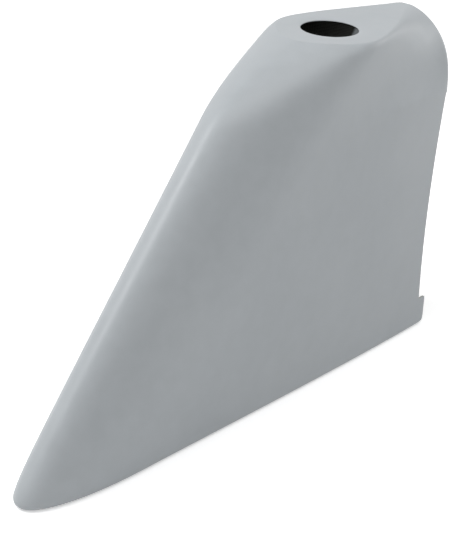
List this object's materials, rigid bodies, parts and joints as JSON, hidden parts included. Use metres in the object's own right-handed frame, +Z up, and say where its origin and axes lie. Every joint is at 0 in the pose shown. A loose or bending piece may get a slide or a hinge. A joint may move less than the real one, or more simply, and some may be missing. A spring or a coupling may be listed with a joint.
{
  "type": "vertical fin tip",
  "caption": "Swept vertical fin tip, a one-piece moulded shell open underneath and aft, with a beacon hole through its flat top.",
  "frame": {"origin": "centre of the bounding box, on the plane of the base rim", "axes": "+X aft, from the swept nose to the open aft end; +Y to starboard; +Z up, from the base rim to the beacon pad"},
  "size_m": [0.5034, 0.1118, 0.3109],
  "materials": {
    "gelcoat": "satin"
  },
  "bodies": {
    "root": {"fin_tip_shell": "gelcoat"}
  },
  "joints": []
}
